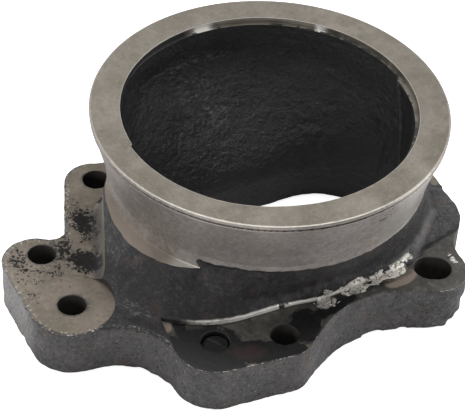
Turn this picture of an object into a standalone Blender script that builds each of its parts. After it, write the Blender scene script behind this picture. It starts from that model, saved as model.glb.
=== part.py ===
"""Cast-iron exhaust outlet adapter: a round clamp flange on a short neck that
runs down, off-centre, into an obround port in a lobed bolt-on foot.

Frame: metres, +Z up, Z = 0 is the machined joint face under the foot. +X runs
right along the long axis of the obround port and +Y runs to the back. The
origin is below the middle of the whole part's outline in plan.
"""

import math

import bmesh
import bpy
import numpy as np

MM = 0.001

# ---------------------------------------------------------------- dimensions
# All in millimetres and degrees. Plan positions are from the middle of the
# port, which stands at PORT_X, PORT_Y from the part's origin.
PORT_X, PORT_Y = 10.3, -4.72

TOTAL_H = 57.5          # joint face under the foot to the clamp flange's face
CLOCK_ANGLE = 28.0      # the clamp flange is turned this much to the port

# foot
FOOT_H = 16.5
FOOT_DRAFT = 0.4        # the foot's sides lean in by this much at the bottom
SCALLOP_TOP = 2.0       # extra cut into the long front scallop at its top
SCALLOP_LOW = 0.7       # and at its bottom
SCALLOP_RISE = (-9.0, 7.0)      # the extra cut grows between these X
SCALLOP_FALL = (20.0, 35.0)     # and dies away between these

# round clamp flange, turned about its own axis
RING_X, RING_Y = 5.0, 9.4
RING_R = 57.5
RIM_CHAMFER = 0.4
RIM_LAND = 1.2
CHAMFER_Z = TOTAL_H - RIM_CHAMFER
LAND_Z = CHAMFER_Z - RIM_LAND
CONE_FOOT_Z = 42.0      # small end of the clamp cone
THROAT_Z = 36.5         # the cone runs out into a near-cylinder here
LEDGE_Z = 31.0          # flat shoulder where the turning tool stopped
# height, turned outside radius
TURNED_PROFILE = (
    (LEDGE_Z, 52.0),
    (THROAT_Z, 52.3),
    (CONE_FOOT_Z, 53.3),
    (LAND_Z, RING_R),
    (CHAMFER_Z, RING_R),
    (TOTAL_H, RING_R - RIM_CHAMFER),
)

# bore: obround port, as-cast round core, turned register in the mouth
PORT_R = 25.6
PORT_END = 23.0         # half the distance between the two end centres
PORT_TOP = 10.5         # straight walls up to here, then the bore opens out
BORE_EASE_TOP = 46.5    # the bore is round from here up
CORE_X, CORE_Y = 4.3, 9.0
CORE_R = 46.9
MOUTH_R = 47.55
REGISTER_Z = TOTAL_H - 2.0
REGISTER_STEP = 0.2     # height over which the core widens to the register

# as-cast neck, an obround at the foot that becomes round under the flange
NECK_R = 34.6
NECK_END = 23.5         # half the distance between the two end centres
NECK_FLARE = 2.7        # cast radius where the neck stands on the foot
NECK_FLARE_H = 6.0
NECK_EASE_TOP = 41.5
NECK_R_TOP = 51.2       # as-cast radius where it meets the turned flange
NECK_SWELL_Z = 33.5     # above this the casting swells towards the flange
NECK_SWELL = 0.6        # added radius per unit of height
CHORD_ANGLE = -45.6     # the neck is flatter on this side, low down
CHORD_REACH = 32.4      # from the right end centre to that flatter side

# How far the cast neck stands out (or in, if negative) under the flange. The
# dip near -140 degrees is where the shoulder runs out to a point.
# degrees round the ring, offset at the throat, further offset at the ledge
BULGE = (
    (-180.0, 0.0, 0.0),
    (-172.0, 0.2, 0.0),
    (-165.0, 0.8, 0.0),
    (-158.0, 0.7, 0.0),
    (-152.0, 0.35, 0.0),
    (-148.5, 0.1, -0.1),
    (-146.1, -0.3, -0.35),
    (-143.7, -0.8, -0.5),
    (-141.6, -1.2, -0.65),
    (-139.6, -1.4, -1.1),
    (-135.2, -0.98, -1.1),
    (-129.5, -0.39, -0.7),
    (-122.6, 0.35, -0.3),
    (-114.5, 0.93, 0.0),
    (-108.4, 1.0, 0.0),
    (-101.5, 1.2, 0.0),
    (-94.4, 1.4, 0.0),
    (-86.8, 1.3, 0.0),
    (-78.3, 1.2, 0.0),
    (-68.7, 0.6, 0.0),
    (-55.9, 0.5, 0.0),
    (-46.0, 0.0, 0.0),
    (180.0, 0.0, 0.0),
)
BULGE_LOW_Z = THROAT_Z - 1.2    # the ledge offset grows downwards from here
BULGE_LOW_MOST = 1.2            # to at most this multiple, below the ledge
BULGE_RISE = (19.0, 27.5)       # heights over which the whole bulge grows
BULGE_FALL = (37.0, 41.0)       # and dies away

# upright milled flat on the left of the neck, gives a spanner room
FLAT_OFFSET = 53.5
FLAT_SLOPE = 0.114      # sideways lean of the flat in plan, as a tangent

# spot face that also cuts into the neck
SPOT_R = 13.4
SPOT_FLOOR = FOOT_H - 0.1
SPOT_TOP = LEDGE_Z - 1.5

# bolt holes and the remains of a stud
BOLT_R = 4.55           # clearance for M8
SLOT_R = 5.2
SLOT_HALF = 0.85        # half the distance between the slot's end centres
DRILL_TOP = FOOT_H + 7.5
STUD_R = 4.05
STUD_BOTTOM, STUD_TOP = 0.4, 15.6
STUD_CHAMFER = 0.5
STUD_TOP_INSET = 0.45   # the top chamfer is a little narrower than high

# Lobes of the foot, anticlockwise: name, hole centre, lobe centre, lobe
# radius, radius of the scallop on to the next lobe (None: a straight side)
LOBES = (
    ("front_right", (41.3, -39.6), (41.7, -39.9), 10.8, 12.0),
    ("end_right", None, (44.8, -12.4), 19.6, None),
    ("end_left", None, (44.8, 12.4), 19.6, 12.0),
    ("back_right", (41.3, 39.6), (41.7, 39.9), 10.8, 44.0),
    ("back_left", (-16.2, 47.9), (-16.2, 47.9), 9.6, 12.0),
    ("corner_back", (-40.7, 42.2), (-41.9, 41.4), 9.8, None),
    ("side_left", None, (-48.2, 26.4), 9.8, 6.0),
    ("far_left_back", (-71.1, 15.1), (-74.1, 13.0), 10.8, None),
    ("far_left_front", (-71.2, -10.1), (-71.2, -10.1), 13.8, 20.0),
    ("corner_front", (-37.2, -42.3), (-37.2, -42.3), 13.3, None),
    ("front_left", (-16.2, -47.9), (-16.2, -47.9), 9.6, 44.0),
)
HOLES = {name: hole for name, hole, *_ in LOBES if hole}
SLOTTED = "front_right"
SEIZED = "corner_front"
SPOT_FACED = "far_left_front"

# mesh stations and resolution
NECK_CAST_Z = (8.0, 16.4)       # inside the foot
NECK_MILLED_Z = (16.7, 18.1, 20.1, 23.0, 26.0, 28.7, LEDGE_Z - 0.25)
NECK_TURNED_Z = (LEDGE_Z, 32.6, 34.2, THROAT_Z, 39.2)
OVERCUT = 2.0           # how far cutters run past the faces they open
BORE_Z = (
    -OVERCUT, PORT_TOP, 14.0, 18.0, 22.0, 26.0, 30.0, 34.0, 38.0, 42.0,
    BORE_EASE_TOP, REGISTER_Z,
)
AROUND = 104            # points on each ring of the neck and the bore
HOLE_SIDES = 24
SPOT_SIDES = 48
ARC_STEP = 3.0          # longest spacing along the arcs of the foot's outline
MERGE_GAP = 0.25        # outline points closer than this are merged
SHARP_ANGLE = 35.0


# ------------------------------------------------------------------- objects
def clear_scene():
    for obj in list(bpy.data.objects):
        bpy.data.objects.remove(obj, do_unlink=True)


def material(name, colour, roughness, metallic):
    mat = bpy.data.materials.new(name)
    mat.use_nodes = True
    shader = mat.node_tree.nodes["Principled BSDF"]
    shader.inputs["Base Color"].default_value = (*colour, 1.0)
    shader.inputs["Roughness"].default_value = roughness
    shader.inputs["Metallic"].default_value = metallic
    mat.diffuse_color = (*colour, 1.0)
    return mat


def place(x, y, z):
    """A point in millimetres from the port's axes, in the part's frame."""
    return ((x + PORT_X) * MM, (y + PORT_Y) * MM, z * MM)


def add_stack(bm, rings):
    """Add one closed body through a stack of equal rings of (x, y, z) points."""
    rows = [[bm.verts.new(place(*point)) for point in ring] for ring in rings]
    count = len(rows[0])
    for low, high in zip(rows, rows[1:]):
        for i in range(count):
            j = (i + 1) % count
            bm.faces.new((low[i], low[j], high[j], high[i]))
    bm.faces.new(list(reversed(rows[0])))
    bm.faces.new(rows[-1])


def solid(name, *stacks, mat=None):
    """An object with one closed body for each stack of rings."""
    bm = bmesh.new()
    for rings in stacks:
        add_stack(bm, rings)
    bmesh.ops.recalc_face_normals(bm, faces=bm.faces)
    mesh = bpy.data.meshes.new(name)
    bm.to_mesh(mesh)
    bm.free()
    obj = bpy.data.objects.new(name, mesh)
    bpy.context.scene.collection.objects.link(obj)
    if mat is not None:
        mesh.materials.append(mat)
    return obj


def boolean(obj, helper, operation):
    """Join or cut obj with a helper body, and hide the helper."""
    helper.hide_render = True
    helper.display_type = "WIRE"
    mod = obj.modifiers.new(operation.lower() + "_" + helper.name, "BOOLEAN")
    mod.operation = operation
    mod.solver = "EXACT"
    mod.object = helper


# ------------------------------------------------------------------ geometry
def clamp(value, most=1.0):
    return min(most, max(0.0, value))


def ease(value, start, end):
    """Smooth step from 0 at start to 1 at end."""
    t = clamp((value - start) / (end - start))
    return t * t * (3.0 - 2.0 * t)


def mix(start, end, share):
    """The plan point that lies this share of the way from start to end."""
    return tuple(a + (b - a) * share for a, b in zip(start, end))


def angles(count, shift=0.0):
    """Equally spaced angles round a circle, shifted by a part of a step."""
    return [math.tau * (i + shift) / count for i in range(count)]


def on_circle(x, y, radius, angle):
    return x + radius * math.cos(angle), y + radius * math.sin(angle)


def round_ring(x, y, radius, z, sides):
    return [(*on_circle(x, y, radius, angle), z) for angle in angles(sides)]


def obround(angle, radius, end):
    """The point of an obround in this direction from its middle."""
    cosine, sine = math.cos(angle), math.sin(angle)
    if abs(sine) * end <= abs(cosine) * radius:
        # the ray leaves through a round end
        along = abs(cosine) * end
        reach = along + math.sqrt(along * along - (end * end - radius * radius))
    else:
        reach = radius / abs(sine)
    return reach * cosine, reach * sine


# ---------------------------------------------------------------------- foot
def scallop_centre(lobe, lobe_r, after, after_r, radius):
    """Centre of the scallop circle that touches both lobes from outside."""
    dx, dy = after[0] - lobe[0], after[1] - lobe[1]
    dist = math.hypot(dx, dy)
    reach, after_reach = lobe_r + radius, after_r + radius
    along = (reach * reach - after_reach * after_reach + dist * dist) / (2.0 * dist)
    out = math.sqrt(reach * reach - along * along)
    ux, uy = dx / dist, dy / dist
    return (lobe[0] + ux * along + uy * out, lobe[1] + uy * along - ux * out)


def tangent_angle(lobe, lobe_r, after, after_r):
    """Direction from both centres to their common outside tangent."""
    dx, dy = after[0] - lobe[0], after[1] - lobe[1]
    return math.atan2(dy, dx) - math.acos((lobe_r - after_r) / math.hypot(dx, dy))


def direction(start, end):
    return math.atan2(end[1] - start[1], end[0] - start[0])


def arc(centre, radius, start, turn):
    """Points along an arc, both ends included; a negative turn is clockwise."""
    count = max(2, math.ceil(abs(turn) * radius / ARC_STEP))
    return [on_circle(*centre, radius, start + turn * i / count) for i in range(count + 1)]


def lobe_joins():
    """For each lobe: angle left at, angle the next is met at, scallop centre."""
    joins = []
    for i, (_, _, lobe, lobe_r, scallop_r) in enumerate(LOBES):
        _, _, after, after_r, _ = LOBES[(i + 1) % len(LOBES)]
        if scallop_r is None:
            angle = tangent_angle(lobe, lobe_r, after, after_r)
            joins.append((angle, angle, None))
        else:
            centre = scallop_centre(lobe, lobe_r, after, after_r, scallop_r)
            joins.append((direction(lobe, centre), direction(after, centre), centre))
    return joins


def foot_outline():
    """The outline of the foot's top, anticlockwise."""
    joins = lobe_joins()
    points = []
    for i, (_, _, lobe, lobe_r, scallop_r) in enumerate(LOBES):
        start = joins[i - 1][1]
        leave, arrive, centre = joins[i]
        points += arc(lobe, lobe_r, start, (leave - start) % math.tau)
        if centre is not None:
            turn = -((leave - arrive) % math.tau)
            points += arc(centre, scallop_r, leave + math.pi, turn)
    kept = points[:1]
    for point in points[1:]:
        if math.dist(point, kept[-1]) > MERGE_GAP:
            kept.append(point)
    return kept[:-1]    # the last point closes on the first


def scallop_share(x, y):
    """1 in the middle of the long front scallop, 0 away from it."""
    if y >= 0.0:
        return 0.0
    return ease(x, *SCALLOP_RISE) * (1.0 - ease(x, *SCALLOP_FALL))


def foot_ring(outline, z, draft, scallop):
    """The outline moved inwards by the draft and the extra scallop cut."""
    ring = []
    for i, (x, y) in enumerate(outline):
        before_x, before_y = outline[i - 1]
        after_x, after_y = outline[(i + 1) % len(outline)]
        dx, dy = after_x - before_x, after_y - before_y
        inset = (draft + scallop * scallop_share(x, y)) / math.hypot(dx, dy)
        ring.append((x - dy * inset, y + dx * inset, z))
    return ring


def build_foot(name, mat):
    outline = foot_outline()
    rings = (
        foot_ring(outline, z=0.0, draft=FOOT_DRAFT, scallop=SCALLOP_LOW),
        foot_ring(outline, z=FOOT_H, draft=0.0, scallop=SCALLOP_TOP),
    )
    return solid(name, rings, mat=mat)


# ---------------------------------------------------------------------- neck
def bulge(x, y, z):
    """How far the cast neck stands out at this point under the flange."""
    bearing = math.degrees(math.atan2(y - RING_Y, x - RING_X))
    bearings, at_throat, at_ledge = zip(*BULGE)
    throat = np.interp(bearing, bearings, at_throat)
    low = np.interp(bearing, bearings, at_ledge)
    below = clamp((BULGE_LOW_Z - z) / (BULGE_LOW_Z - LEDGE_Z), most=BULGE_LOW_MOST)
    fade = ease(z, *BULGE_RISE) * (1.0 - ease(z, *BULGE_FALL))
    return (throat + low * below) * fade


def cast_point(angle, z):
    """A plan point of the as-cast neck before machining."""
    low = clamp(1.0 - (z - FOOT_H) / NECK_FLARE_H)
    flare = NECK_FLARE * low * low
    x, y = obround(angle, NECK_R + flare, NECK_END)
    chord = math.radians(CHORD_ANGLE)
    reach = (x - NECK_END) * math.cos(chord) + y * math.sin(chord)
    over = max(0.0, reach - CHORD_REACH - flare)
    low_point = (x - over * math.cos(chord), y - over * math.sin(chord))
    radius = NECK_R_TOP + NECK_SWELL * max(0.0, z - NECK_SWELL_Z)
    high_point = on_circle(RING_X, RING_Y, radius, angle)
    x, y = mix(low_point, high_point, ease(z, FOOT_H, NECK_EASE_TOP))
    out = bulge(x, y, z) / math.hypot(x - RING_X, y - RING_Y)
    return x + (x - RING_X) * out, y + (y - RING_Y) * out


def cast_ring(z):
    return [(*cast_point(angle, z), z) for angle in angles(AROUND)]


def mill_flat(x, y, z):
    """Bring a point outside the milled flat back to it."""
    cosine = math.cos(math.radians(CLOCK_ANGLE))
    sine = math.sin(math.radians(CLOCK_ANGLE))
    across = (x - RING_X) * cosine - (y - RING_Y) * sine
    along = (x - RING_X) * sine + (y - RING_Y) * cosine
    across = max(across, -FLAT_OFFSET - FLAT_SLOPE * along)
    return (
        RING_X + across * cosine + along * sine,
        RING_Y - across * sine + along * cosine,
        z,
    )


def turn_down(x, y, z):
    """Bring a point outside the turned profile back to it."""
    most = np.interp(z, *zip(*TURNED_PROFILE))
    share = min(1.0, most / math.hypot(x - RING_X, y - RING_Y))
    return RING_X + (x - RING_X) * share, RING_Y + (y - RING_Y) * share, z


def build_neck(name):
    rings = [cast_ring(z) for z in NECK_CAST_Z]
    rings += [[mill_flat(*point) for point in cast_ring(z)] for z in NECK_MILLED_Z]
    rings += [[turn_down(*point) for point in cast_ring(z)] for z in NECK_TURNED_Z]
    rings += [
        round_ring(RING_X, RING_Y, radius, z, AROUND)
        for z, radius in TURNED_PROFILE
        if z >= CONE_FOOT_Z
    ]
    return solid(name, rings)


# ------------------------------------------------------------------- cutters
def bore_ring(z):
    """The bore, blended from the round core above to the port below."""
    share = 1.0 - ease(z, PORT_TOP, BORE_EASE_TOP)
    ring = []
    for angle in angles(AROUND):
        core = on_circle(CORE_X, CORE_Y, CORE_R, angle)
        port = obround(angle, PORT_R, PORT_END)
        ring.append((*mix(core, port, share), z))
    return ring


def build_bore(name):
    rings = [bore_ring(z) for z in BORE_Z]
    rings += [
        round_ring(RING_X, RING_Y, MOUTH_R, z, AROUND)
        for z in (REGISTER_Z + REGISTER_STEP, TOTAL_H + OVERCUT)
    ]
    return solid(name, rings)


def hole_outline(centre, radius, half=0.0, tilt=0.0):
    """A round hole, or a slot if half its centre distance is given."""
    outline = []
    for angle in angles(HOLE_SIDES, shift=0.5):
        along = radius * math.cos(angle) + math.copysign(half, math.cos(angle))
        across = radius * math.sin(angle)
        outline.append(
            (
                centre[0] + along * math.cos(tilt) - across * math.sin(tilt),
                centre[1] + along * math.sin(tilt) + across * math.cos(tilt),
            )
        )
    return outline


def build_holes(name):
    """One cutter for every bolt hole: plain drilled, one of them slotted."""
    stacks = []
    for lobe, centre in HOLES.items():
        if lobe == SLOTTED:
            tilt = math.radians(-CLOCK_ANGLE)
            outline = hole_outline(centre, SLOT_R, half=SLOT_HALF, tilt=tilt)
        else:
            outline = hole_outline(centre, BOLT_R)
        stacks.append([[(x, y, z) for x, y in outline] for z in (-OVERCUT, DRILL_TOP)])
    return solid(name, *stacks)


def build_spot(name):
    centre = HOLES[SPOT_FACED]
    rings = [round_ring(*centre, SPOT_R, z, SPOT_SIDES) for z in (SPOT_FLOOR, SPOT_TOP)]
    return solid(name, rings)


# -------------------------------------------------------------------- pieces
def build_casting(mat):
    casting = build_foot("reducer_casting", mat)
    neck = build_neck("neck_blank")
    bore = build_bore("bore_core")
    holes = build_holes("bolt_drills")
    spot = build_spot("spot_facer")
    boolean(casting, neck, "UNION")
    for cutter in (spot, bore, holes):
        boolean(casting, cutter, "DIFFERENCE")
    return casting


def build_stud(mat):
    """What is left of a seized M8 stud, cut off below the foot's top face."""
    profile = (
        (STUD_R - STUD_CHAMFER, STUD_BOTTOM),
        (STUD_R, STUD_BOTTOM + STUD_CHAMFER),
        (STUD_R, STUD_TOP - STUD_CHAMFER),
        (STUD_R - STUD_TOP_INSET, STUD_TOP),
    )
    rings = [round_ring(*HOLES[SEIZED], radius, z, HOLE_SIDES) for radius, z in profile]
    return solid("seized_stud", rings, mat=mat)


def main():
    clear_scene()
    iron = material(
        "cast_iron_used", colour=(0.085, 0.08, 0.075), roughness=0.62, metallic=0.75
    )
    steel = material(
        "stud_steel_greasy", colour=(0.045, 0.045, 0.045), roughness=0.5, metallic=0.8
    )
    for obj in (build_casting(iron), build_stud(steel)):
        obj.data.shade_smooth()
        obj.data.set_sharp_from_angle(angle=math.radians(SHARP_ANGLE))


main()
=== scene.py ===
# A used iron reducer casting with the stub of a seized stud in its front left
# corner. The flat foot stands on z = 0 with its long side along X, pierced by
# an obround port; the neck rises to a turned round flange whose mouth faces +Z.
# Right is +X and back is +Y. Shapes are worked out in millimetres from the
# middle of the port, and moved to the part's frame in metres at the end.
import math
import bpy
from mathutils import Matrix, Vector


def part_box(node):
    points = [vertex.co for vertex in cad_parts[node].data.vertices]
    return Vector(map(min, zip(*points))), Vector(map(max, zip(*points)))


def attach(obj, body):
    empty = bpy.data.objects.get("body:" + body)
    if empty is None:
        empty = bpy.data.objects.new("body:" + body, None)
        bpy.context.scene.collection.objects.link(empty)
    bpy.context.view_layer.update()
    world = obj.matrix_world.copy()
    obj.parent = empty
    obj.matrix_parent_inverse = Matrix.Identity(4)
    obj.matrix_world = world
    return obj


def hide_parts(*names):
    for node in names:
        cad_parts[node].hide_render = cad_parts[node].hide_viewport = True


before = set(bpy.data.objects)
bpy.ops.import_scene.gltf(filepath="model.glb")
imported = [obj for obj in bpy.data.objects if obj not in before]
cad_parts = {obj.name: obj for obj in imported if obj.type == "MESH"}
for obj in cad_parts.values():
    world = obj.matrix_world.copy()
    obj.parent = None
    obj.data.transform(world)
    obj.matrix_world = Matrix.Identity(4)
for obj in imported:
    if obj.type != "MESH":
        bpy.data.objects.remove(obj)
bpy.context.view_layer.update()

from types import SimpleNamespace

import bpy
import numpy as np
from mathutils import Matrix, Vector

MM = 0.001

# --------------------------------------------------------------------------
# Dimensions in millimetres
# --------------------------------------------------------------------------
LOW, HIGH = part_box("reducer_casting")
STUD_LOW, STUD_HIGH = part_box("seized_stud")

TOTAL_H = HIGH.z / MM
FOOT_H = 16.5
FOOT_DRAFT = 0.4
RING_X, RING_Y, RING_R = 5.0, 9.4, 57.5
CONE_FOOT_R, CONE_FOOT_Z = 53.3, 42.0
THROAT_R, THROAT_Z = 52.3, 36.5
TURNED_R, LEDGE_Z = 52.0, 31.0
MOUTH_R, MOUTH_DEPTH = 47.55, 2.0
CORE_R, CORE_X, CORE_Y = 46.9, 4.3, 9.0
PORT_R, PORT_END, PORT_TOP, BORE_EASE_TOP = 25.6, 23.0, 10.5, 46.5
NECK_R, NECK_END, NECK_EASE_TOP = 34.6, 23.5, 41.5
NECK_R_TOP, NECK_CONE_START, NECK_CONE_SLOPE = 51.2, 33.5, 0.6
ROOT_R = 37.3
SKEW = math.radians(28.0)  # turn of the milled flat and the slot about z
FLAT_OFFSET, FLAT_SLOPE = 53.5, 0.114
SPOT_R = 13.4
BOLT_R, SLOT_R, SLOT_HALF = 4.55, 5.2, 0.85
DRILL_TOP = FOOT_H + 7.5

# The foot's lobes, anticlockwise: name, bolt hole centre (or None), arc
# centre, arc radius, radius of the scallop to the next lobe (None: straight)
LOBES = (
    ("front_right", (41.3, -39.6), (41.7, -39.9), 10.8, 12.0),
    ("right_front", None, (44.8, -12.4), 19.6, None),
    ("right_back", None, (44.8, 12.4), 19.6, 12.0),
    ("back_right", (41.3, 39.6), (41.7, 39.9), 10.8, 44.0),
    ("back_left", (-16.2, 47.9), (-16.2, 47.9), 9.6, 12.0),
    ("corner_back", (-40.7, 42.2), (-41.9, 41.4), 9.8, None),
    ("side_back", None, (-48.2, 26.4), 9.8, 6.0),
    ("end_back", (-71.1, 15.1), (-74.1, 13.0), 10.8, None),
    ("end_front", (-71.2, -10.1), (-71.2, -10.1), 13.8, 20.0),
    ("corner_front", (-37.2, -42.3), (-37.2, -42.3), 13.3, None),
    ("front_left", (-16.2, -47.9), (-16.2, -47.9), 9.6, 44.0),
)
HOLES = {name: hole for name, hole, _, _, _ in LOBES if hole is not None}
STUD_X, STUD_Y = HOLES["corner_front"]
SPOT_X, SPOT_Y = HOLES["end_front"]
# the port's middle in the part's frame
PORT_X = (STUD_LOW.x + STUD_HIGH.x) / 2 / MM - STUD_X
PORT_Y = (STUD_LOW.y + STUD_HIGH.y) / 2 / MM - STUD_Y

# Turned outside, (height, radius): the cone, a fine groove under the rim's
# land, then the land and its broken edge
PROFILE = np.array([
    (LEDGE_Z - 1.0, TURNED_R), (LEDGE_Z, TURNED_R),
    (THROAT_Z, THROAT_R - 0.1), (THROAT_Z + 1.6, THROAT_R + 0.2),
    (CONE_FOOT_Z, CONE_FOOT_R), (TOTAL_H - 2.6, RING_R - 0.55),
    (TOTAL_H - 2.35, RING_R - 0.2), (TOTAL_H - 1.95, RING_R - 0.2),
    (TOTAL_H - 1.8, RING_R - 0.7), (TOTAL_H - 1.3, RING_R - 0.7),
    (TOTAL_H - 1.15, RING_R - 0.03), (TOTAL_H - 0.38, RING_R - 0.01),
    (TOTAL_H - 0.12, RING_R - 0.14), (TOTAL_H, RING_R - 0.45),
    (TOTAL_H + 1.0, RING_R - 0.45),
])

# How far the cast neck stands out or in just under the turned flange:
# (degrees round the ring, outward at the throat, outward again at the ledge).
# At the dip near -140 degrees the ledge runs out to a point.
FLARE = np.array([
    (-180.0, 0.0, 0.0), (-172.0, 0.2, 0.0), (-165.0, 0.8, 0.0), (-158.0, 0.7, 0.0),
    (-152.0, 0.35, 0.0), (-148.5, 0.1, -0.1), (-146.1, -0.3, -0.35),
    (-143.7, -0.8, -0.5), (-141.6, -1.2, -0.65), (-139.6, -1.4, -1.1),
    (-135.2, -0.98, -1.1), (-129.5, -0.39, -0.7), (-122.6, 0.35, -0.3),
    (-114.5, 0.93, 0.0), (-108.4, 1.0, 0.0), (-101.5, 1.2, 0.0), (-94.4, 1.4, 0.0),
    (-86.8, 1.3, 0.0), (-78.3, 1.2, 0.0), (-68.7, 0.6, 0.0), (-55.9, 0.5, 0.0),
    (-46.0, 0.0, 0.0), (180.0, 0.0, 0.0),
])

# Cast relief, (height, grain size, stretch of z, seed)
CAST_RELIEF = ((0.17, 5.5, 1.0, 1), (0.13, 2.3, 1.0, 2), (0.07, 1.25, 1.0, 3))
BORE_RELIEF = ((0.26, 8.5, 1.0, 11), (0.12, 3.6, 0.8, 12), (0.10, 1.8, 1.0, 13))

# Plan grid that holds the distance to the foot's outline
MAP_STEP = 0.35
MAP_X0, MAP_Y0 = -92.0, -66.0
MAP_NX, MAP_NY = 462, 388


# --------------------------------------------------------------------------
# Noise: one seeded lattice table, quintic fade
# --------------------------------------------------------------------------
draws = np.random.RandomState(20417)
ORDER = np.concatenate([draws.permutation(256)] * 3).astype(np.int32)
LATTICE = draws.rand(256) * 2.0 - 1.0


def noise(x, y, z, size, seed):
    """Smooth value noise between -1 and 1 with lattice spacing size."""
    corners, fades = [], []
    for value, offset in ((x, 17.3), (y, 5.1), (z, 9.7)):
        value = value / size + offset * seed
        corner = np.floor(value)
        part = value - corner
        fades.append(part * part * part * (part * (part * 6.0 - 15.0) + 10.0))
        corners.append(corner.astype(np.int32) & 255)
    (xi, yi, zi), (fx, fy, fz) = corners, fades

    def at(i, j, k):
        return LATTICE[ORDER[ORDER[ORDER[xi + i] + yi + j] + zi + k]]

    def layer(k):
        near = at(0, 0, k) * (1 - fx) + at(1, 0, k) * fx
        far = at(0, 1, k) * (1 - fx) + at(1, 1, k) * fx
        return near * (1 - fy) + far * fy

    return layer(0) * (1 - fz) + layer(1) * fz


def relief_sum(x, y, z, layers):
    return sum(
        height * noise(x, y, z * stretch, size, seed) for height, size, stretch, seed in layers
    )


# --------------------------------------------------------------------------
# Helpers for distance fields (negative inside the metal)
# --------------------------------------------------------------------------
def smooth_min(a, b, width):
    overlap = np.maximum(width - np.abs(a - b), 0.0) / width
    return np.minimum(a, b) - overlap * overlap * width * 0.25


def smooth_max(a, b, width):
    return -smooth_min(-a, -b, width)


def step01(t):
    t = np.clip(t, 0.0, 1.0)
    return t * t * (3.0 - 2.0 * t)


def step_rate(t):
    """The slope of step01."""
    t = np.clip(t, 0.0, 1.0)
    return 6.0 * t * (1.0 - t)


def blend(share, a, b, slope):
    """A share of a and the rest of b, kept true to distance on a sloping wall."""
    return (share * a + (1.0 - share) * b) / np.sqrt(1.0 + slope * slope)


def obround(x, y, end, radius):
    return np.hypot(np.maximum(np.abs(x) - end, 0.0), y) - radius


def skewed(x, y):
    """Plan offsets along and across the direction of the flat and the slot."""
    cos, sin = math.cos(SKEW), math.sin(SKEW)
    return x * cos - y * sin, x * sin + y * cos


def core_seam(y, z):
    """Distance in y from the core's seam, for arrays and shader signals alike."""
    return y - (8.3 - 0.32 * (TOTAL_H - z))


def roughened(field, x, y, z, relief):
    """The field with a relief added, worked out only near its surface."""
    near = np.abs(field) < 2.0
    if np.any(near):
        field = field.copy()
        field[near] += relief(x[near], y[near], z[near])
    return field


# --------------------------------------------------------------------------
# The foot's outline
# --------------------------------------------------------------------------
def scallop_centre(a, radius_a, b, radius_b, radius):
    """Centre of the scallop that touches two lobes from outside."""
    dx, dy = b[0] - a[0], b[1] - a[1]
    dist = math.hypot(dx, dy)
    reach_a, reach_b = radius_a + radius, radius_b + radius
    along = (reach_a * reach_a - reach_b * reach_b + dist * dist) / (2.0 * dist)
    out = math.sqrt(max(reach_a * reach_a - along * along, 0.0))
    ux, uy = dx / dist, dy / dist
    return (a[0] + ux * along + uy * out, a[1] + uy * along - ux * out)


def tangent_angle(a, radius_a, b, radius_b):
    dx, dy = b[0] - a[0], b[1] - a[1]
    return math.atan2(dy, dx) - math.acos((radius_a - radius_b) / math.hypot(dx, dy))


def lobe_joins():
    """Per lobe: angle it is left at, angle the next is met at, scallop centre."""
    joins = []
    for i, (_, _, a, radius_a, scallop) in enumerate(LOBES):
        _, _, b, radius_b, _ = LOBES[(i + 1) % len(LOBES)]
        if scallop is None:
            angle = tangent_angle(a, radius_a, b, radius_b)
            joins.append((angle, angle, None))
        else:
            c = scallop_centre(a, radius_a, b, radius_b, scallop)
            leave = math.atan2(c[1] - a[1], c[0] - a[0])
            joins.append((leave, math.atan2(c[1] - b[1], c[0] - b[0]), c))
    return joins


def on_circle(centre, radius, angle):
    return (centre[0] + radius * math.cos(angle), centre[1] + radius * math.sin(angle))


def outline_parts():
    """The outline as arcs (centre, radius, start, turn), lines and points."""
    joins = lobe_joins()
    arcs, lines = [], []
    for i, (_, _, centre, radius, scallop) in enumerate(LOBES):
        start = joins[i - 1][1]
        leave, arrive, hollow = joins[i]
        while leave < start:
            leave += 2.0 * math.pi
        while leave - start > 2.0 * math.pi:
            leave -= 2.0 * math.pi
        if leave - start > 1.9 * math.pi:
            leave = start
        arcs.append((centre, radius, start, leave - start))
        if hollow is not None:
            first, last = joins[i][0] + math.pi, arrive + math.pi
            while last > first:
                last -= 2.0 * math.pi
            arcs.append((hollow, scallop, first, last - first))
        else:
            _, _, following, next_radius, _ = LOBES[(i + 1) % len(LOBES)]
            ends = on_circle(centre, radius, leave), on_circle(following, next_radius, arrive)
            lines.append(ends)
    points = []
    for centre, radius, start, turn in arcs:
        steps = max(2, int(abs(turn) * radius / 0.4))
        for k in range(steps + 1):
            points.append(on_circle(centre, radius, start + turn * k / steps))
    return arcs, lines, np.array(points)


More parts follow.
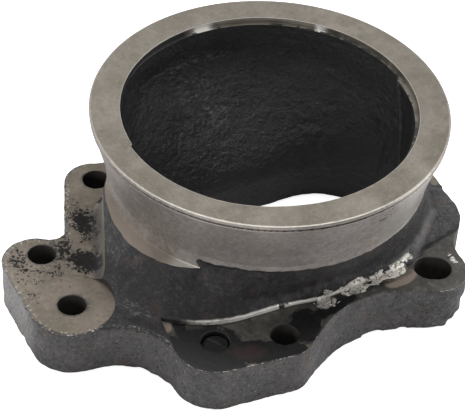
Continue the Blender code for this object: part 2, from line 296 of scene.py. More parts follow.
def outline_map():
    """Signed distance to the outline on the plan grid, negative inside."""
    arcs, lines, points = outline_parts()
    xs = MAP_X0 + MAP_STEP * np.arange(MAP_NX)
    ys = MAP_Y0 + MAP_STEP * np.arange(MAP_NY)
    gx, gy = np.meshgrid(xs, ys, indexing="ij")
    best = np.full(gx.shape, 1e9)
    for centre, radius, start, turn in arcs:
        px, py = gx - centre[0], gy - centre[1]
        low, span = (start, turn) if turn >= 0 else (start + turn, -turn)
        past = np.mod(np.arctan2(py, px) - low, 2.0 * math.pi)
        dist = np.abs(np.hypot(px, py) - radius)
        best = np.where(past <= span, np.minimum(best, dist), best)
    for a, b in lines:
        ax, ay = b[0] - a[0], b[1] - a[1]
        size = ax * ax + ay * ay
        if size < 1e-9:
            continue
        t = np.clip(((gx - a[0]) * ax + (gy - a[1]) * ay) / size, 0.0, 1.0)
        best = np.minimum(best, np.hypot(gx - a[0] - t * ax, gy - a[1] - t * ay))
    # a grid point is inside when an odd number of crossings lie to its left
    inside = np.zeros(gx.shape, bool)
    following = np.roll(points, -1, axis=0)
    for j, y in enumerate(ys):
        y = y + 1e-7
        crosses = (points[:, 1] > y) != (following[:, 1] > y)
        p, q = points[crosses], following[crosses]
        at = np.sort(p[:, 0] + (y - p[:, 1]) * (q[:, 0] - p[:, 0]) / (q[:, 1] - p[:, 1]))
        inside[:, j] = np.searchsorted(at, xs) % 2 == 1
    return np.where(inside, -best, best)


OUTLINE = outline_map().ravel()


def outline(x, y):
    """The outline map between its grid points."""
    fx = np.clip((x - MAP_X0) / MAP_STEP, 0, MAP_NX - 1.001)
    fy = np.clip((y - MAP_Y0) / MAP_STEP, 0, MAP_NY - 1.001)
    i, j = fx.astype(np.int32), fy.astype(np.int32)
    u, v = fx - i, fy - j
    k = i * MAP_NY + j
    return (OUTLINE[k] * (1 - u) + OUTLINE[k + MAP_NY] * u) * (1 - v) + (
        OUTLINE[k + 1] * (1 - u) + OUTLINE[k + MAP_NY + 1] * u
    ) * v


# --------------------------------------------------------------------------
# The casting's distance fields, at points in millimetres
# --------------------------------------------------------------------------
def foot_side(x, y, z):
    """The foot's drafted side."""
    # the long scallop at the front is cut back more at its top than below
    share = step01((x + 9.0) / 16.0) * step01((35.0 - x) / 15.0) * (y < 0.0)
    rise = np.clip(z / FOOT_H, 0.0, 1.0)
    return outline(x, y) + FOOT_DRAFT * (1.0 - rise) + share * (0.7 + 1.3 * rise)


def flare(turn, z):
    """How far the cast neck stands out at an angle (radians) round the ring."""
    turn = np.degrees(turn)
    throat = np.interp(turn, FLARE[:, 0], FLARE[:, 1])
    ledge = np.interp(turn, FLARE[:, 0], FLARE[:, 2])
    out = throat + ledge * np.clip((THROAT_Z - 1.2 - z) / 4.3, 0.0, 1.2)
    return out * step01((z - 19.0) / 8.5) * step01((41.0 - z) / 4.0)


def neck_field(x, y, z, ring_dist):
    """The as-cast neck, obround at its foot and round under the flange."""
    span = NECK_EASE_TOP - FOOT_H
    part = (z - FOOT_H) / span
    share = step01(part)
    low = obround(x, y, NECK_END, NECK_R)
    # the wall is flatter on the front right quarter
    chord = 0.7 * (x - NECK_END) - 0.7146 * y - 32.4
    low = smooth_max(low, chord, 6.0)
    turn = np.arctan2(y - RING_Y, x - RING_X)
    above = np.maximum(z - NECK_CONE_START, 0.0)
    right = np.exp(-((turn / 0.55) ** 2))
    high = ring_dist - (NECK_R_TOP - 1.1 * right + NECK_CONE_SLOPE * above)
    slope = step_rate(part) / span * (high - low)
    slope = slope - share * NECK_CONE_SLOPE * (z > NECK_CONE_START)
    return blend(share, high, low, slope) - 0.85 * flare(turn, z)


def cast_relief(x, y, z):
    """Lumps, nicks and wear of the outer cast skin."""
    bumps = relief_sum(x, y, z, CAST_RELIEF)
    # the lower edge of the foot is nicked here and there
    nick = np.clip(noise(x, y, z * 0.4, 4.2, 4) - 0.42, 0.0, 1.0)
    bumps = bumps + 1.6 * nick * step01((2.6 - z) / 2.6)
    # and worn away below the front right bolt
    worn = step01(1.25 - np.hypot(x - 47.0, y + 50.0) / 10.0)
    worn = worn * step01((11.0 - z) / 11.0)
    return bumps + 1.5 * worn * (1.0 + 0.9 * noise(x, y, z, 3.4, 6)) + 0.08


def milled_fields(x, y, z, raw_top):
    """The milled top of the foot, and the patch at the left it leaves uncut."""
    root = obround(x, y, NECK_END, ROOT_R) + 0.10 * noise(x, y, z * 0.0, 4.1, 5)
    root = root - 1.5 * np.exp(-(((x - 3.0) / 9.0) ** 2)) * (y < 0.0)
    gap = step01((-48.5 - x) / 2.5) * step01((-9.0 - y) / 3.0)
    gap = gap * step01((np.hypot(x - SPOT_X, y - SPOT_Y) - SPOT_R + 0.8) / 1.0)
    gap = gap * step01((x - 1.1 * (y + 10.0) + 75.0) / 6.0)
    root = root - 14.0 * gap
    milled = np.minimum(np.minimum(z - FOOT_H, root), FOOT_H + 3.2 - z)
    return milled - 8.0 * np.clip(raw_top * 1.6 - 0.3, 0.0, 1.0), gap


def flat_field(x, y, z):
    """The milled flat at the back left, with a cove at its foot."""
    u, v = skewed(x - RING_X, y - RING_Y)
    wall = -(u + FLAT_OFFSET + FLAT_SLOPE * v) / math.sqrt(1.0 + FLAT_SLOPE**2)
    return np.minimum(smooth_min(wall, z - FOOT_H, 6.5), 36.0 - z)


def spot_field(x, y, z):
    """The spot face round the front bolt of the left end."""
    spot = np.minimum(SPOT_R - np.hypot(x - SPOT_X, y - SPOT_Y), z - (FOOT_H - 0.03))
    return np.minimum(spot, LEDGE_Z - 1.5 - z)


def bore_relief(x, y, z):
    """Lumps, ridges and the seam that the core left in the bore."""
    lumps = relief_sum(x, y, z, BORE_RELIEF)
    lumps = lumps * (0.22 + 0.78 * step01((TOTAL_H - 2.5 - z) / 6.0))
    # faint upright and level ridges on the right
    right = step01((x - 20.0) / 14.0)
    lumps = lumps + 0.22 * right * noise(x * 1.0, y * 1.0, z * 0.12, 2.4, 14)
    lumps = lumps + 0.16 * right * noise(x * 0.2, y * 0.2, z, 1.9, 15)
    seam = np.exp(-((core_seam(y, z) / 0.55) ** 2)) * (x > 0.0)
    return lumps + 0.5 * seam * (0.7 + 0.6 * noise(x, y, z, 3.0, 16))


def bore_field(x, y, z):
    """The cored obround port that opens upwards into the round mouth."""
    span = BORE_EASE_TOP - PORT_TOP
    part = (BORE_EASE_TOP - z) / span
    # the core's halves met a little out of line
    half = np.tanh((y - CORE_Y) / 0.25)
    port = obround(x - 0.25 * half * (x > 0.0), y, PORT_END, PORT_R)
    core = np.hypot(x - CORE_X - 0.4 * half, y - CORE_Y) - CORE_R
    core = core - 0.55 * step01((-x - 8.0) / 22.0) * step01((z - 44.0) / 6.0)
    bore = blend(step01(part), port, core, step_rate(part) / span * (port - core))
    return roughened(bore, x, y, z, bore_relief)


def hole_field(x, y):
    """Distance outside the nearest bolt hole (positive in the metal)."""
    best = np.full(np.shape(x), 1e9)
    for name, (hx, hy) in HOLES.items():
        dx, dy = x - hx, y - hy
        if name == "front_right":
            dist = obround(*skewed(dx, dy), SLOT_HALF, SLOT_R)
        else:
            dist = np.hypot(dx, dy) - BOLT_R
        best = np.minimum(best, dist)
    return best


def fields(x, y, z):
    """Every distance the casting is made from, and the whole body's."""
    side = foot_side(x, y, z)
    ring_dist = np.hypot(x - RING_X, y - RING_Y)
    # the foot's right end keeps its cast top, a little low
    raw_top = step01((x - 34.0) / 6.0) * step01((-4.0 - y) / 3.0)
    raw_top = raw_top * step01((y + 34.0 - 0.3 * (x - 40.0)) / 5.0)
    slab = np.maximum(side, z - (FOOT_H + 0.9 - 1.35 * raw_top))
    cast = smooth_min(neck_field(x, y, z, ring_dist), slab, 6.2)
    cast = roughened(cast, x, y, z, cast_relief)
    turned = ring_dist - np.interp(z, PROFILE[:, 0], PROFILE[:, 1])
    turned = np.minimum(z - LEDGE_Z, turned)
    body = np.maximum(cast, turned)
    # each cut, with how softly its edges are broken
    milled, gap = milled_fields(x, y, z, raw_top)
    body = smooth_max(body, milled, 0.22)
    flat = flat_field(x, y, z)
    body = smooth_max(body, flat, 0.2)
    spot = spot_field(x, y, z)
    body = smooth_max(body, spot, 0.12)
    body = smooth_max(body, -z, 0.25)
    body = smooth_max(body, z - TOTAL_H, 0.12)
    bore = bore_field(x, y, z)
    register = np.maximum(ring_dist - MOUTH_R, TOTAL_H - MOUTH_DEPTH - z)
    body = smooth_max(body, -np.minimum(bore, register), 0.14)
    # bolt holes with a small lead at both ends
    hole = hole_field(x, y)
    lead = np.clip(z - (FOOT_H - 0.2), 0.0, 0.5) + np.clip(0.2 - z, 0.0, 0.4)
    drill = np.where(z < DRILL_TOP, hole - lead, 1e3)
    body = smooth_max(body, -drill, 0.12)
    return SimpleNamespace(
        side=side, raw_top=raw_top, cast=cast, turned=turned, milled=milled, gap=gap,
        flat=flat, spot=spot, bore=bore, register=register, hole=hole, body=body,
    )


def body_at(points):
    return fields(points[:, 0], points[:, 1], points[:, 2]).body


def gradient(points, reach=0.02):
    """Unit direction in which the body's distance grows."""
    slope = np.empty_like(points)
    for axis in range(3):
        offset = np.zeros(3)
        offset[axis] = reach
        slope[:, axis] = body_at(points + offset) - body_at(points - offset)
    size = np.linalg.norm(slope, axis=1)
    return slope / np.maximum(size, 1e-12)[:, None]


# --------------------------------------------------------------------------
# Dual contouring: one vertex per surface sheet in each cell, on the sharpest
# point that the crossings' tangent planes share
# --------------------------------------------------------------------------
def corner_of(a, b, c):
    return a + 2 * b + 4 * c


def cell_corner(axis, along, p, q):
    """A cell's corner by its place along an axis and along the next two."""
    corner = [0, 0, 0]
    corner[axis], corner[(axis + 1) % 3], corner[(axis + 2) % 3] = along, p, q
    return corner_of(*corner)


# a cell's twelve edges: (axis, p, q) and the two corners they join
EDGE_PLACES = [(axis, p, q) for axis in range(3) for p in range(2) for q in range(2)]
EDGES = [(cell_corner(a, 0, p, q), cell_corner(a, 1, p, q)) for a, p, q in EDGE_PLACES]
EDGE_AT = {place: i for i, place in enumerate(EDGE_PLACES)}
EDGE_BETWEEN = {frozenset(ends): i for i, ends in enumerate(EDGES)}
SQUARE = ((0, 0), (1, 0), (1, 1), (0, 1))


def sheet_table():
    """For each sign pattern of a cell, the sheet each edge belongs to."""
    faces = [
        [cell_corner(axis, side, p, q) for p, q in SQUARE]
        for axis in range(3)
        for side in range(2)
    ]
    table = np.full((256, 12), -1, np.int32)
    count = np.zeros(256, np.int32)
    for mask in range(256):
        parent = list(range(12))

        def root(i):
            while parent[i] != i:
                i = parent[i]
            return i

        used = [i for i, (a, b) in enumerate(EDGES) if (mask >> a & 1) != (mask >> b & 1)]
        for ring in faces:
            ids = [EDGE_BETWEEN[frozenset((ring[k], ring[(k + 1) % 4]))] for k in range(4)]
            cut = [i for i in ids if i in used]
            if len(cut) == 2:
                parent[root(cut[0])] = root(cut[1])
            elif len(cut) == 4:
                for k in range(4):
                    if mask >> ring[k] & 1:
                        parent[root(ids[k])] = root(ids[k - 1])
        names = {}
        for i in used:
            table[mask, i] = names.setdefault(root(i), len(names))
        count[mask] = len(names)
    return table, count


def sample_grid(xs, ys, zs):
    """The body's distance on the grid, with its border kept outside."""
    gx, gy = (grid.ravel() for grid in np.meshgrid(xs, ys, indexing="ij"))
    value = np.empty((len(xs), len(ys), len(zs)))
    for k, z in enumerate(zs):
        layer = fields(gx, gy, np.full(gx.shape, z)).body
        value[:, :, k] = layer.reshape(len(xs), len(ys))
    value[0], value[-1] = 1.0, 1.0
    value[:, 0], value[:, -1] = 1.0, 1.0
    value[:, :, 0], value[:, :, -1] = 1.0, 1.0
    return value


def edge_crossings(axis, axes, value, solid):
    """Grid edges along an axis that cross the surface, and the crossings."""
    low, high = [slice(None)] * 3, [slice(None)] * 3
    low[axis], high[axis] = slice(0, -1), slice(1, None)
    index = np.argwhere(solid[tuple(low)] != solid[tuple(high)])
    beyond = index.copy()
    beyond[:, axis] += 1
    start = np.stack([axes[a][index[:, a]] for a in range(3)], axis=1)
    length = axes[axis][beyond[:, axis]] - axes[axis][index[:, axis]]
    fa, fb = value[tuple(index.T)], value[tuple(beyond.T)]
    ta, tb = np.zeros(len(index)), np.ones(len(index))
    point = start.copy()
    # false position, with a halving now and then
    for turn in range(7):
        t = (ta * fb - tb * fa) / (fb - fa)
        t = np.where(np.isfinite(t), np.clip(t, 0.0, 1.0), 0.5 * (ta + tb))
        if turn in (2, 5):
            t = 0.5 * (ta + tb)
        point[:, axis] = start[:, axis] + t * length
        ft = body_at(point)
        left = (ft < 0.0) == (fa < 0.0)
        ta, fa = np.where(left, t, ta), np.where(left, ft, fa)
        tb, fb = np.where(left, tb, t), np.where(left, fb, ft)
    return index, point


def place_vertices(hits, normals, owners, sheets, axes):
    """Each sheet's vertex, from the crossings it owns and their normals."""
    total = int(sheets.sum())

    def gather(values):
        return np.bincount(owners, values, total)

    hit_count = np.maximum(np.bincount(owners, minlength=total), 1)
    centre = np.stack([gather(hits[:, a]) / hit_count for a in range(3)], axis=1)
    along = ((hits - centre[owners]) * normals).sum(1)
    ata = np.empty((total, 3, 3))
    atb = np.empty((total, 3))
    for a in range(3):
        atb[:, a] = gather(normals[:, a] * along)
        for b in range(a, 3):
            ata[:, a, b] = gather(normals[:, a] * normals[:, b])
            ata[:, b, a] = ata[:, a, b]
    weight, vectors = np.linalg.eigh(ata)
    keep = weight > 0.06 * weight[:, 2:3]
    inverse = np.where(keep, 1.0 / np.maximum(weight, 1e-9), 0.0)
    turned = np.einsum("nji,nj->ni", vectors, atb)
    local = np.einsum("nij,nj->ni", vectors, inverse * turned)
    # a vertex stays in or just outside its own cell
    cells = np.repeat(np.argwhere(sheets > 0), sheets[sheets > 0], axis=0)
    low = np.stack([axes[a][cells[:, a]] for a in range(3)], axis=1)
    high = np.stack([axes[a][cells[:, a] + 1] for a in range(3)], axis=1)
    room = 0.08 * (high - low)
    return np.clip(centre + local, low - room, high + room)


def cut_quads(vert, quads):
    """Triangles, cut along the diagonal that stays nearer to the surface."""
    off02, off13 = (
        np.abs(body_at(0.5 * (vert[quads[:, a]] + vert[quads[:, b]])))
        for a, b in ((0, 2), (1, 3))
    )
    first_cut = (off02 <= off13)[:, None]
    return np.concatenate([
        np.where(first_cut, quads[:, [0, 1, 2]], quads[:, [0, 1, 3]]),
        np.where(first_cut, quads[:, [0, 2, 3]], quads[:, [1, 2, 3]]),
    ])


def contour(*axes):
    """Vertices and triangles of the body's surface on a grid."""
    value = sample_grid(*axes)
    solid = value < 0.0
    nx, ny, nz = (size - 1 for size in solid.shape)
    mask = np.zeros((nx, ny, nz), np.uint8)
    for a in range(2):
        for b in range(2):
            for c in range(2):
                part = solid[a : nx + a, b : ny + b, c : nz + c]
                mask |= part.astype(np.uint8) << np.uint8(corner_of(a, b, c))
    table, count = sheet_table()
    sheets = count[mask]
    first = (np.cumsum(sheets.ravel()) - sheets.ravel()).reshape(sheets.shape)
    quads, hits, normals, owners = [], [], [], []
    for axis in range(3):
        index, point = edge_crossings(axis, axes, value, solid)
        normal = gradient(point)
        ring = []
        for dp, dq in ((-1, -1), (0, -1), (0, 0), (-1, 0)):
            cell = index.copy()
            cell[:, (axis + 1) % 3] += dp
            cell[:, (axis + 2) % 3] += dq
            cell = tuple(cell.T)
            ring.append(first[cell] + table[mask[cell], EDGE_AT[(axis, -dp, -dq)]])
        ring = np.stack(ring, axis=1)
        outward = solid[tuple(index.T)]
        quads.append(np.where(outward[:, None], ring, ring[:, ::-1]))
        for k in range(4):
            hits.append(point)
            normals.append(normal)
            owners.append(ring[:, k])
    hits, normals, owners = map(np.concatenate, (hits, normals, owners))
    vert = place_vertices(hits, normals, owners, sheets, axes)
    return vert, cut_quads(vert, np.concatenate(quads))


def levels(low, high, step, fine=()):
    """Grid levels from low to high, closer in the fine bands (from, to, step)."""
    out = [low]
    while out[-1] < high:
        here = out[-1]
        size = step
        for start, end, fine_step in fine:
            if start <= here + 0.5 * step and here < end:
                size = min(size, fine_step)
        out.append(here + size)
    return np.array(out)


def casting_surface():
    step = 0.85
    xs = levels(LOW.x / MM - PORT_X - 1.37, HIGH.x / MM - PORT_X + 1.2, step)
    ys = levels(LOW.y / MM - PORT_Y - 1.31, HIGH.y / MM - PORT_Y + 1.2, step)
    fine = (
        (15.6, 18.8, 0.5 * step),
        (30.4, 31.6, 0.6 * step),
        (54.6, 58.2, 0.24),
        (-0.9, 0.6, 0.5 * step),
    )
    return contour(xs, ys, levels(-0.93, TOTAL_H + 0.7, step, fine))


# --------------------------------------------------------------------------
# Blender meshes and pieces
# --------------------------------------------------------------------------
def mesh_from(name, vert, tris):
    """A smooth mesh in the part's metres from points in port millimetres."""
    points = (vert + np.array([PORT_X, PORT_Y, 0.0])) * MM
    mesh = bpy.data.meshes.new(name)
    mesh.vertices.add(len(points))
    mesh.vertices.foreach_set("co", np.asarray(points, np.float32).ravel())
    mesh.loops.add(3 * len(tris))
    mesh.loops.foreach_set("vertex_index", np.asarray(tris, np.int32).ravel())
    mesh.polygons.add(len(tris))
    mesh.polygons.foreach_set("loop_start", np.arange(0, 3 * len(tris), 3, dtype=np.int32))
    mesh.update(calc_edges=True)
    mesh.validate()
    mesh.shade_smooth()
    return mesh


def add_object(name, data):
    obj = bpy.data.objects.new(name, data)
    bpy.context.scene.collection.objects.link(obj)
    return obj


def add_piece(mesh, cad_name):
    """An object for the mesh that stands in for a CAD piece."""
    piece = add_object(mesh.name, mesh)
    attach(piece, "root")
    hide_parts(cad_name)


def corner_normals(vert, tris):
    """Each face corner's normal from the field, kept apart across edges."""
    centre = vert[tris].mean(axis=1)
    at_vertex = gradient(vert, 0.03)
    out = np.empty((len(tris), 3, 3))
    for k in range(3):
        inner = gradient(vert[tris[:, k]] * 0.72 + centre * 0.28, 0.03)
        outer = at_vertex[tris[:, k]]
        same = (inner * outer).sum(1) > math.cos(math.radians(14.0))
        out[:, k] = np.where(same[:, None], outer, inner)
    a, b, c = (vert[tris[:, k]] for k in range(3))
    flat = np.cross(b - a, c - a)
    flat /= np.maximum(np.linalg.norm(flat, axis=1), 1e-12)[:, None]
    off = (out * flat[:, None, :]).sum(2) < 0.5
    return np.where(off[:, :, None], flat[:, None, :], out)


def surface_masks(vert):
    """How clearly each kind of face owns a vertex, and places the shader needs."""
    x, y, z = vert.T
    f = fields(x, y, z)
    kinds = {
        "cast": f.cast,
        "turned": f.turned,
        "milled": f.milled,
        "flat": f.flat,
        "spot": f.spot,
        "under": -z,
        "face": z - TOTAL_H,
        "bore": np.where(f.bore < f.register, -f.bore, -99.0),
        "register": np.where(f.bore >= f.register, -f.register, -99.0),
        "hole": np.where(z < DRILL_TOP, -f.hole, -99.0),
    }
    order = np.sort(np.stack(list(kinds.values())), axis=0)
    top, second = order[-1], order[-2]
    masks = {}
    for name, dist in kinds.items():
        others = np.where(dist >= top, second, top)
        masks[name] = np.clip(dist - others, -6.0, 6.0)
    masks["edge"] = np.clip(top - second, 0.0, 6.0)
    masks["lift"] = np.clip(z - FOOT_H, -6.0, 40.0)
    masks["rootline"] = obround(x, y, NECK_END, ROOT_R)
    masks["side"] = f.side
    masks["gap"] = f.gap
    masks["rawtop"] = f.raw_top
    return masks


def build_casting():
    vert, tris = casting_surface()
    mesh = mesh_from("reducer_casting_iron", vert, tris)
    for name, values in surface_masks(vert).items():
        layer = mesh.attributes.new("m_" + name, "FLOAT", "POINT")
        layer.data.foreach_set("value", np.asarray(values, np.float32))
    normals = corner_normals(vert, tris).reshape(-1, 3)
    mesh.normals_split_custom_set(normals.astype(np.float32))
    add_piece(mesh, "reducer_casting")
    return mesh


# --------------------------------------------------------------------------
# The stub of the seized stud: rolled thread, chamfered foot, cut-off top
# --------------------------------------------------------------------------
STUD_TOP, STUD_BOTTOM = STUD_HIGH.z / MM, STUD_LOW.z / MM
STUD_R = (STUD_HIGH.x - STUD_LOW.x) / 2 / MM - 0.03
THREAD_PITCH, THREAD_DEPTH = 1.25, 0.66
STUD_AROUND, STUD_LEVELS = ((120, 150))


def thread_radius(z, turn):
    """The threaded side's radius at a height, for each angle round it."""
    wave = np.mod(z / THREAD_PITCH - turn / (2.0 * math.pi), 1.0)
    ridge = 1.0 - np.abs(2.0 * wave - 1.0)
    groove = THREAD_DEPTH * (1.0 - step01((ridge - 0.08) / 0.8))
    lead = np.clip((z - STUD_BOTTOM) / 0.6, 0.0, 1.0)
    end = np.clip((STUD_TOP - z) / 0.35, 0.0, 1.0)
    radius = np.minimum(STUD_R - groove, STUD_R - 0.62 * (1.0 - lead))
    radius = radius - 0.22 * (1.0 - end) ** 2
    # rust and old grease packed into the gap a little below the top
    pack = step01((z - 10.5) / 1.2) * step01((STUD_TOP - 1.1 - z) / 0.7)
    crust = 4.47 + 0.05 * noise(turn * 2.4, turn * 0.0, turn * 0.0 + z, 1.1, 33)
    return radius * (1.0 - pack) + np.minimum(crust, 4.5) * pack


def cut_top(x, y):
    """Height of the cut-off top: dished, with one groove across it."""
    dish = 0.10 * noise(x, y, x * 0, 2.3, 31) + 0.05 * noise(x, y, x * 0, 0.8, 32)
    groove = -0.34 * np.exp(-(((0.85 * x + 0.53 * y - 0.5) / 0.28) ** 2)) * np.exp(
        -(((0.53 * x - 0.85 * y + 0.6) / 1.9) ** 4)
    )
    return np.minimum(STUD_TOP - 0.16 + dish + groove, STUD_TOP - 0.02)


def stud_surface():
    turn = 2.0 * math.pi * np.arange(STUD_AROUND) / STUD_AROUND
    # rings from the middle of the foot, up the side and in to the top's middle
    rings = [(radius, STUD_BOTTOM) for radius in (0.8, 1.6, 2.4, 3.0)]
    for z in np.linspace(STUD_BOTTOM + 0.05, STUD_TOP - 0.12, STUD_LEVELS):
        rings.append((thread_radius(z, turn), z))
    for radius in (3.1, 2.75, 2.4, 2.05, 1.7, 1.35, 1.0, 0.65, 0.3):
        rings.append((radius, cut_top(radius * np.cos(turn), radius * np.sin(turn))))
    points = []
    for radius, z in rings:
        px, py = STUD_X + radius * np.cos(turn), STUD_Y + radius * np.sin(turn)
        points.append(np.stack([px, py, np.broadcast_to(z, turn.shape)], axis=1))
    points.append([[STUD_X, STUD_Y, STUD_BOTTOM], [STUD_X, STUD_Y, STUD_TOP - 0.16]])
    i = np.arange(STUD_AROUND)
    j = (i + 1) % STUD_AROUND
    faces = []
    for k in range(len(rings) - 1):
        a, b = k * STUD_AROUND, (k + 1) * STUD_AROUND
        faces.append(np.stack([a + i, a + j, b + j], axis=1))
        faces.append(np.stack([a + i, b + j, b + i], axis=1))
    low = len(rings) * STUD_AROUND
    last = low - STUD_AROUND
    faces.append(np.stack([np.full(STUD_AROUND, low), j, i], axis=1))
    faces.append(np.stack([np.full(STUD_AROUND, low + 1), last + i, last + j], axis=1))
    return np.concatenate(points), np.concatenate(faces)


def build_stud():
    mesh = mesh_from("seized_stud_stub", *stud_surface())
    mesh.set_sharp_from_angle(angle=math.radians(38.0))
    add_piece(mesh, "seized_stud")
    return mesh


# --------------------------------------------------------------------------
# Node building: arithmetic on sockets. Colours are display values, 0 to 255.
# --------------------------------------------------------------------------
class Signal:
    """A node's output that can be used in formulas."""

    tree = None  # the node tree being built

    def __init__(self, socket):
        self.socket = socket

    def __add__(self, other):
        return math_node("ADD", self, other)

    def __sub__(self, other):
        return math_node("SUBTRACT", self, other)

    def __rsub__(self, other):
        return math_node("SUBTRACT", other, self)

    def __mul__(self, other):
        return math_node("MULTIPLY", self, other)

    def __truediv__(self, other):
        return math_node("DIVIDE", self, other)

    __radd__ = __add__
    __rmul__ = __mul__


def start_tree(owner):
    """Empty the nodes of a material or world, and build there from now on."""
    owner.use_nodes = True
    owner.node_tree.nodes.clear()
    Signal.tree = owner.node_tree


def add_node(kind, inputs, **settings):
    """A node whose inputs, by name or number, are signals or values."""
    node = Signal.tree.nodes.new("ShaderNode" + kind)
    for name, value in settings.items():
        setattr(node, name, value)
    for key, value in inputs.items():
        if isinstance(value, Signal):
            Signal.tree.links.new(value.socket, node.inputs[key])
        else:
            node.inputs[key].default_value = value
    return node


def result(kind, inputs, output=0, **settings):
    """One output of a new node."""
    return Signal(add_node(kind, inputs, **settings).outputs[output])


def math_node(operation, *values, clamp=False):
    return result("Math", dict(enumerate(values)), operation=operation, use_clamp=clamp)


def clamped(value, gain=1.0):
    return math_node("MULTIPLY", value, gain, clamp=True)


def higher(a, b):
    return math_node("MAXIMUM", a, b)


def attr(name):
    return result(
        "Attribute", {}, "Fac", attribute_type="GEOMETRY", attribute_name="m_" + name
    )


def ramp(value, start, end):
    """0 at start, 1 at end, smooth between; start may be the greater."""
    rising = start <= end
    inputs = {
        "Value": value,
        "From Min": min(start, end),
        "From Max": max(start, end),
        "To Min": 0.0 if rising else 1.0,
        "To Max": 1.0 if rising else 0.0,
    }
    return result("MapRange", inputs, "Result", interpolation_type="SMOOTHSTEP")


def band(value, outer, inner):
    """1 within inner of zero, 0 beyond outer."""
    return ramp(math_node("ABSOLUTE", value), outer, inner)


def on(mask):
    """1 where a face's mask is positive, with a soft edge."""
    return ramp(mask, -0.06, 0.06)


def lerp(share, a, b):
    return result("Mix", {0: share, 2: a, 3: b}, data_type="FLOAT")


def linear_colour(colour):
    """A display colour in linear light; a signal is passed through."""
    if isinstance(colour, Signal):
        return colour
    parts = (c / 255.0 for c in colour)
    return (*(c / 12.92 if c <= 0.04045 else ((c + 0.055) / 1.055) ** 2.4 for c in parts), 1.0)


def tint(share, a, b):
    inputs = {0: share, 6: linear_colour(a), 7: linear_colour(b)}
    return result("Mix", inputs, 2, data_type="RGBA")


def coats(base, *layers, mix=tint):
    """The base with layers of (share, value) laid over it in turn."""
    for share, value in layers:
        base = mix(share, base, value)
    return base


def vec(x, y, z):
    return result("CombineXYZ", {0: x, 1: y, 2: z})


def grain(where, size, seed, detail=3.0, rough=0.6):
    """Fractal noise from 0 to 1 with features about size millimetres."""
    inputs = {
        "Vector": where, "W": seed, "Scale": 1.0 / size, "Detail": detail, "Roughness": rough
    }
    return result("TexNoise", inputs, "Fac", noise_dimensions="4D")


def voronoi(where, size, feature, output):
    inputs = {"Vector": where, "Scale": 1.0 / size}
    return result("TexVoronoi", inputs, output, feature=feature)


def pits(where, size):
    return voronoi(where, size, "F1", "Distance")


def cells(where, size):
    """Crisp cells: distance to the nearest crack, and two random values."""
    crack = voronoi(where, size, "DISTANCE_TO_EDGE", "Distance")
    split = add_node("SeparateColor", {0: voronoi(where, size, "F1", "Color")})
    return crack, Signal(split.outputs[0]), Signal(split.outputs[1])


def relief_normal(height):
    inputs = {"Strength": 1.0, "Distance": 0.001, "Height": height}
    return result("Bump", inputs, "Normal")


def port_coordinates():
    """Object space as millimetres from the port's middle: vector, then x, y, z."""
    inputs = {
        0: result("TexCoord", {}, "Object"),
        1: (1000.0, 1000.0, 1000.0),
        2: (-PORT_X, -PORT_Y, 0.0),
    }
    where = result("VectorMath", inputs, operation="MULTIPLY_ADD")
    split = add_node("SeparateXYZ", {0: where})
    return where, *(Signal(output) for output in split.outputs)


def ellipse(x, y, cx, cy, rx, ry, turn=0.0):
    """1 at the middle of a turned (degrees) ellipse, 0 at its rim, then less."""
    cos, sin = math.cos(math.radians(turn)), math.sin(math.radians(turn))
    dx, dy = x - cx, y - cy
    u = (dx * cos + dy * sin) / rx
    v = (dy * cos - dx * sin) / ry
    return 1.0 - math_node("SQRT", u * u + v * v)


def patches(x, y, *rows):
    """The highest of several ellipses: centre x, y, radii, turn, gain."""
    best = None
    for *shape, gain in rows:
        patch = ellipse(x, y, *shape)
        if gain != 1.0:
            patch = patch * gain
        best = patch if best is None else higher(best, patch)
    return best


def finish_material(name, **inputs):
    """Wire a principled shader; underscores in input names stand for spaces."""
    inputs = {key.replace("_", " "): value for key, value in inputs.items()}
    add_node("OutputMaterial", {"Surface": result("BsdfPrincipled", inputs)})


# --------------------------------------------------------------------------
# Iron: one casting, told apart by how each face was made and what has
# settled on it since. The functions share their signals through s.
# --------------------------------------------------------------------------
def iron_signals():
    """Coordinates, noises and face masks that several parts use."""
    where, x, y, z = port_coordinates()
    s = SimpleNamespace(where=where, x=x, y=y, z=z)
    s.broad = grain(where, 14.0, seed=1.0, rough=0.55)
    s.blot = grain(where, 5.0, seed=2.0, detail=4.0)
    s.fleck = grain(where, 1.5, seed=3.0, detail=4.0, rough=0.65)
    s.fine = grain(where, 0.5, seed=4.0)
    s.flake = grain(where, 2.4, seed=9.0, detail=5.0, rough=0.75)
    s.crumb = grain(where, 1.1, seed=10.0, rough=0.7)
    s.glint = grain(where, 0.85, seed=12.0, detail=2.0, rough=0.7)
    s.chips = grain(vec(x * 0.45, y * 1.1, z * 1.1), 1.6, seed=21.0, detail=2.0, rough=0.5)
    # streaks that run round the ring, as the turning left them
    ring_x, ring_y = x - RING_X, y - RING_Y
    ring_dist = math_node("SQRT", ring_x * ring_x + ring_y * ring_y)
    theta = math_node("ARCTAN2", ring_y, ring_x)
    round_ring = vec(ring_dist * 1.0, theta * 4.0, z * 1.0)
    s.streak = grain(round_ring, 0.42, seed=5.0, detail=2.0)
    s.degrees = theta * 57.2958
    s.edge, s.lift, s.side = attr("edge"), attr("lift"), attr("side")
    s.milled = attr("milled")
    s.on_turned, s.on_face = on(attr("turned")), on(attr("face"))
    s.on_register, s.on_bore = on(attr("register")), on(attr("bore"))
    s.on_flat, s.on_spot = on(attr("flat")), on(attr("spot"))
    s.on_under, s.on_hole = on(attr("under")), on(attr("hole"))
    on_milled = on(s.milled) * ramp(s.lift, 0.35, 0.05)
    flat_foot = s.on_flat * ramp(s.lift, 1.2, 0.15)
    s.on_top = clamped(clamped(on_milled + s.on_spot) + flat_foot)
    # the stretch of the mouth's register that gets painted light
    s.lit = ramp(s.degrees, 36.0, 42.0) * ramp(s.degrees, 101.0, 95.0)
    return s


